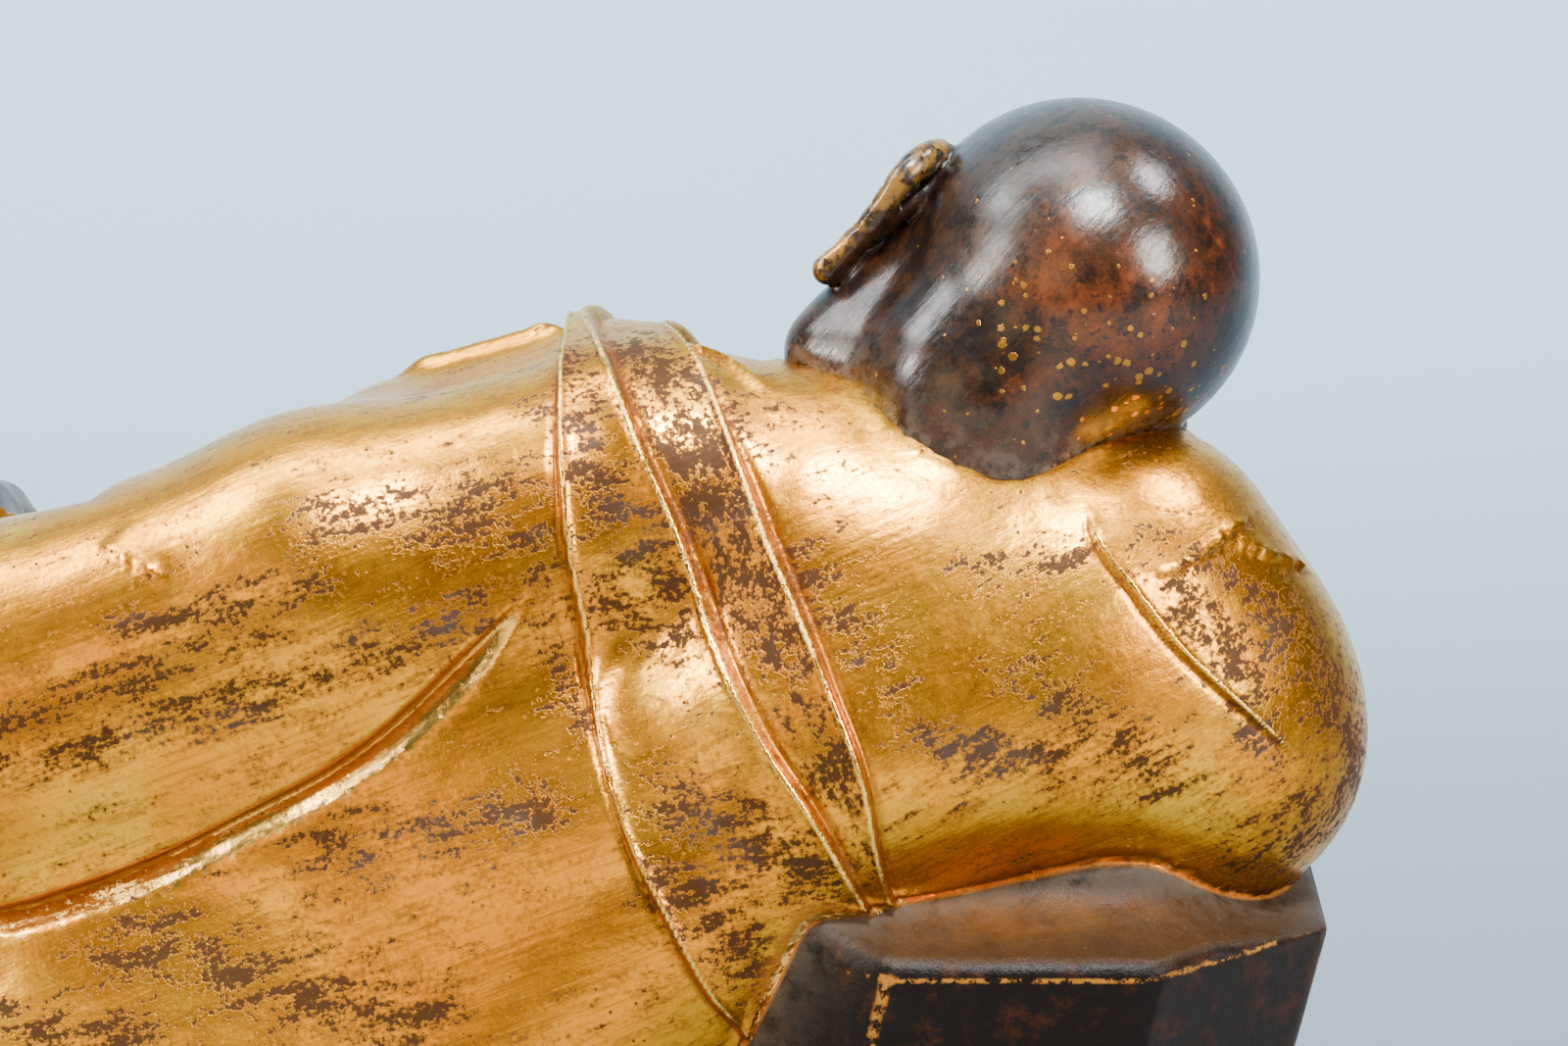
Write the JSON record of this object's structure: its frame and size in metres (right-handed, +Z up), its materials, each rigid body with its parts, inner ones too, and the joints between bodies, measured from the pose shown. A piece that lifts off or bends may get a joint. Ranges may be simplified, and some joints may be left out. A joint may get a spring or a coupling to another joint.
{
  "type": "seated monk statue",
  "caption": "Partly gilt cast bronze figure of a bald monk asleep, cheek on his hand, leaning on a faceted rock, on a low base.",
  "frame": {"origin": "centre of the low base's underside, which is also the bottom centre of the bounding box", "axes": "+X along the base towards the figure's raised left knee, +Y towards its back, +Z up; the figure faces -Y"},
  "size_m": [0.248, 0.156, 0.2128],
  "materials": {
    "gilt_bronze": "cast bronze, robe gilt and worn to brown, head and rock left dark"
  },
  "bodies": {
    "root": {"sleeping_arhat": "gilt_bronze"}
  },
  "joints": []
}
